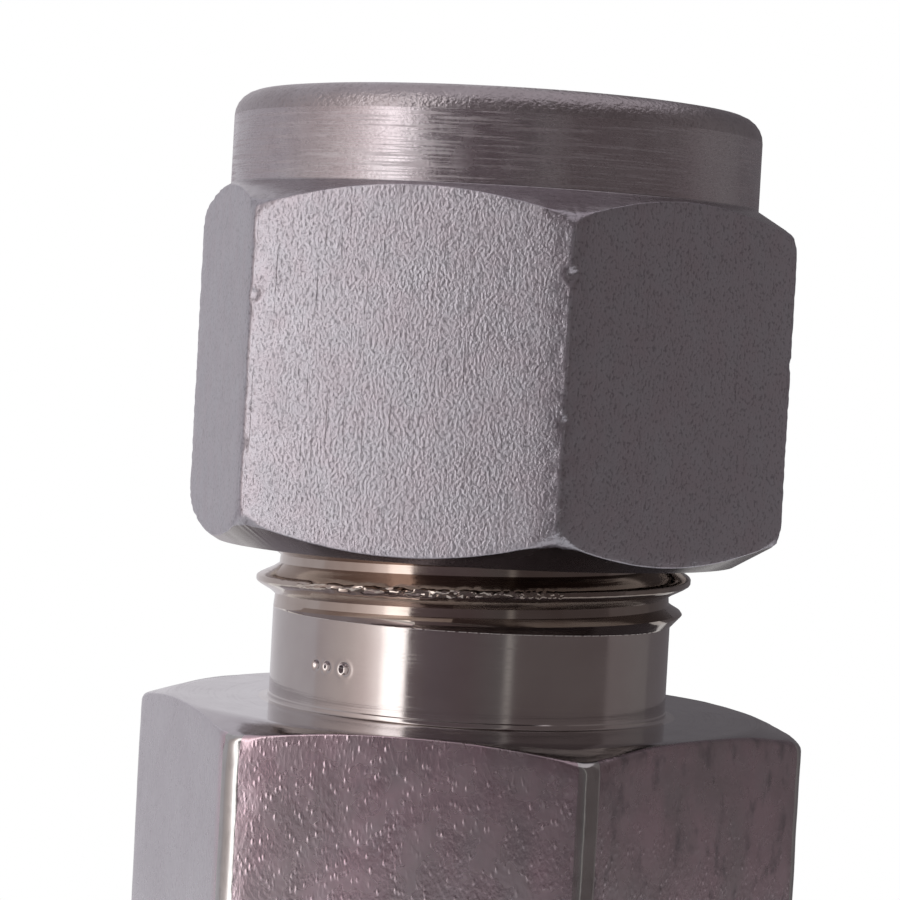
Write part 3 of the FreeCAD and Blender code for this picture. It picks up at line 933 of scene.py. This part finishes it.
def placeCamera():
    camera = bpy.data.cameras.new("photoCamera")
    camera.lens, camera.sensor_width = view["lens"], view["sensor"]
    camera.clip_start, camera.clip_end = 0.01, 10
    stand = Matrix.Translation(Vector((0, -view["distance"], view["height"])) * mm)
    level, around, swing, lean = (Matrix.Rotation(math.radians(turn), 4, axis) for turn, axis in (
        (90 + view["pitch"], "X"), (cameraSide, "Z"), (-view["yaw"], "Z"), (view["roll"], "Z")))
    placed = show(camera, "photoCamera")
    placed.matrix_world = around @ stand @ swing @ level @ lean
    bpy.context.scene.camera = placed


# Floor, white surround and soft light. Angles run round from the camera, positive to its right.
room = {
    "radius": 62, "low": 0.5, "high": 110, "panelStep": 2, "ceilingStep": 6,
    "ceiling": (0.62, 0.58, 0.60),
    # (angle, red, green, blue) along each panel
    "panels": [
        [(-178, 0.70, 0.68, 0.71), (-155, 0.70, 0.68, 0.71), (-138, 0.58, 0.565, 0.59),
         (-117.5, 0.54, 0.52, 0.54), (-93.5, 0.54, 0.52, 0.54)],
        [(-93.5, 0.48, 0.44, 0.445), (-70, 0.62, 0.55, 0.53), (-58.3, 0.85, 0.75, 0.72),
         (-48.2, 1.4, 1.3, 1.26)],
        [(-48.2, 1.9, 1.8, 1.75), (-44.7, 2.3, 2.25, 2.2), (-34.1, 2.3, 2.25, 2.2)],
        [(-34.1, 0.15, 0.12, 0.125), (-19.4, 0.13, 0.105, 0.115), (0, 0.12, 0.095, 0.10),
         (18.9, 0.13, 0.12, 0.12)],
        [(18.9, 0.20, 0.19, 0.19), (21.4, 0.40, 0.38, 0.36), (23.8, 0.20, 0.19, 0.19)],
        [(23.8, 0.125, 0.105, 0.105), (81.8, 0.125, 0.105, 0.105)],
        [(81.8, 0.20, 0.175, 0.175), (119.5, 0.19, 0.175, 0.175)],
        [(119.5, 0.15, 0.135, 0.14), (178, 0.15, 0.14, 0.15)],
    ],
    "floorRadius": 900, "floorColour": (0.86, 0.86, 0.86, 1), "fadeFrom": 35, "fadeTo": 70,
    "softLevel": 0.7,
    "lampSize": 160, "lampWatts": 0.06, "lampSpot": (230, -60, 300), "lampAim": (0, 0, 20),
}


# Panels that the steel mirrors, out of sight of the camera, under a round ceiling.
def buildRoom():
    points, faces, colours = [], [], []

    def addPoint(radius, angle, height, tone):
        points.append((placeFromCamera(radius, angle, height) * mm).tolist())
        colours.extend([*tone, 1.0])

    for panel in room["panels"]:
        stops = np.array(panel, float)
        first, last = stops[0, 0], stops[-1, 0]
        for angle in np.linspace(first, last, max(3, int((last - first) / room["panelStep"]))):
            tone = [float(np.interp(angle, stops[:, 0], stops[:, k])) for k in (1, 2, 3)]
            for height in (room["low"], room["high"]):
                addPoint(room["radius"], angle, height, tone)
            if angle > first:
                count = len(points)
                faces.append((count - 4, count - 2, count - 1, count - 3))
    ceiling = len(points)
    for angle in range(0, 360, room["ceilingStep"]):
        addPoint(room["radius"] + 2, angle, room["high"], room["ceiling"])
    faces.append(tuple(range(ceiling, len(points))))
    mesh = bpy.data.meshes.new("roomPanels")
    mesh.from_pydata(points, [], faces)
    mesh.attributes.new("tone", "FLOAT_COLOR", "POINT").data.foreach_set("color", colours)
    material = emptied(bpy.data.materials.new("RoomPanels"))
    tree = material.node_tree
    tone = addNode(tree, "ShaderNodeAttribute", attribute_name="tone").outputs["Color"]
    glow = addNode(tree, "ShaderNodeEmission", {"Color": tone, "Strength": 1.0})
    addNode(tree, "ShaderNodeOutputMaterial", {"Surface": glow.outputs[0]})
    mesh.materials.append(material)
    panels = show(mesh, "roomPanels")
    panels.visible_camera = False
    panels.visible_diffuse = False
    panels.visible_shadow = False


# 1 for rays that see the background, less for rays that only gather soft light
def backdropStrength(tree):
    path = tree.nodes.new("ShaderNodeLightPath").outputs
    camera, glossy, clear = (Number(tree, path[name]) for name in
                             ("Is Camera Ray", "Is Glossy Ray", "Is Transmission Ray"))
    seen = calc("MAXIMUM", camera, calc("MAXIMUM", glossy, clear))
    return ramp(seen, 0.0, 1.0, room["softLevel"], 1.0)


# Pale under the part and white further out.
def buildFloor():
    floor = bmesh.new()
    bmesh.ops.create_circle(floor, cap_ends=True, segments=96, radius=room["floorRadius"] * mm)
    mesh = bpy.data.meshes.new("floor")
    floor.to_mesh(mesh)
    floor.free()
    material = emptied(bpy.data.materials.new("PaleFloor"))
    tree = material.node_tree
    coords = tree.nodes.new("ShaderNodeTexCoord").outputs["Object"]
    away = addNode(tree, "ShaderNodeVectorMath", {0: coords}, operation="LENGTH").outputs["Value"]
    pale = addNode(tree, "ShaderNodeBsdfDiffuse", {"Color": room["floorColour"]})
    white = addNode(tree, "ShaderNodeEmission",
                    {"Color": (1, 1, 1, 1), "Strength": backdropStrength(tree)})
    fade = ramp(Number(tree, away), room["fadeFrom"] * mm, room["fadeTo"] * mm, smooth=True)
    mixed = addNode(tree, "ShaderNodeMixShader", {0: fade, 1: pale.outputs[0], 2: white.outputs[0]})
    addNode(tree, "ShaderNodeOutputMaterial", {"Surface": mixed.outputs[0]})
    mesh.materials.append(material)
    show(mesh, "floor")


def buildLight():
    world = emptied(bpy.data.worlds.new("WhiteSurround"))
    tree = world.node_tree
    surround = addNode(tree, "ShaderNodeBackground",
                       {"Color": (1, 1, 1, 1), "Strength": backdropStrength(tree)})
    addNode(tree, "ShaderNodeOutputWorld", {"Surface": surround.outputs[0]})
    bpy.context.scene.world = world
    lamp = bpy.data.lights.new("softKey", "AREA")
    lamp.shape, lamp.size, lamp.energy = "DISK", room["lampSize"] * mm, room["lampWatts"]
    key = show(lamp, "softKey")
    key.location = Vector(placeFromCamera(*room["lampSpot"]) * mm)
    key.rotation_mode = "QUATERNION"
    aim = key.location - Vector(room["lampAim"]) * mm
    key.rotation_quaternion = aim.to_track_quat("Z", "Y")


placeCamera()
buildRoom()
buildFloor()
buildLight()
bpy.context.scene.view_settings.view_transform = "Standard"
print("scene ready")
